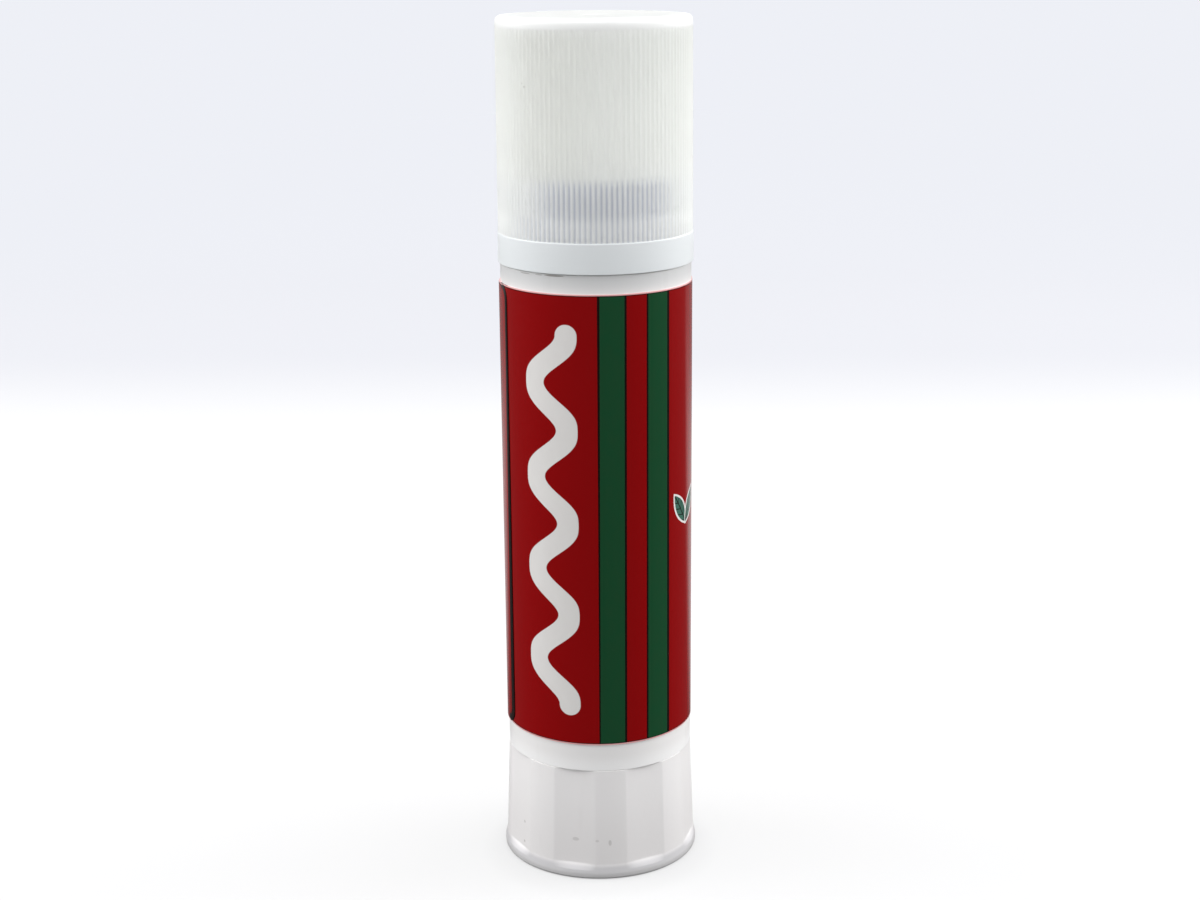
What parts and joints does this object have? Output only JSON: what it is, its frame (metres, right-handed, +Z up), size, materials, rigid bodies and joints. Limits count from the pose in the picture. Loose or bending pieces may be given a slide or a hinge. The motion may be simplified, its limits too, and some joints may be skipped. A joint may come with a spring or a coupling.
{
  "type": "glue stick",
  "caption": "Twist-up glue stick: a capped white tube with a wrapped red and green label, whose foot turns a lead screw that raises the glue.",
  "frame": {"origin": "middle of the knob's underside, on the surface that the stick stands on", "axes": "+Z up the stick's axis towards the cap; -Y is the side that the label's stripes face"},
  "size_m": [0.0264, 0.0264, 0.1125],
  "materials": {
    "barrel_plastic": "smooth white moulding",
    "label_film": "glossy printed film, red with two green stripes",
    "knob_plastic": "satin off-white moulding",
    "screw_plastic": "satin white moulding",
    "carrier_plastic": "satin white moulding",
    "glue": "waxy off-white adhesive",
    "cap_plastic": "translucent natural moulding with fine ribs"
  },
  "bodies": {
    "barrel_body": {"barrel": "barrel_plastic", "label": "label_film"},
    "knob_body": {"knob": "knob_plastic", "spindle": "screw_plastic"},
    "carrier_body": {"carrier": "carrier_plastic", "glue_stick": "glue"},
    "cap_body": {"cap": "cap_plastic"}
  },
  "joints": [
    {"name": "knob_turn", "type": "hinge", "parent": "barrel_body", "child": "knob_body", "pos_m": [0, 0, 0.0152], "axis": [0, 0, 1], "range_deg": [0, 1440]},
    {"name": "carrier_rise", "type": "slide", "parent": "barrel_body", "child": "carrier_body", "axis": [0, 0, 1], "range_m": [0, 0.02]},
    {"name": "cap_lift", "type": "slide", "parent": "barrel_body", "child": "cap_body", "axis": [0, 0, 1], "range_m": [0, 0.045]}
  ],
  "couplings": [
    {"joint": "knob_turn", "follows": "carrier_rise", "rad_per_m": 1256.6}
  ]
}
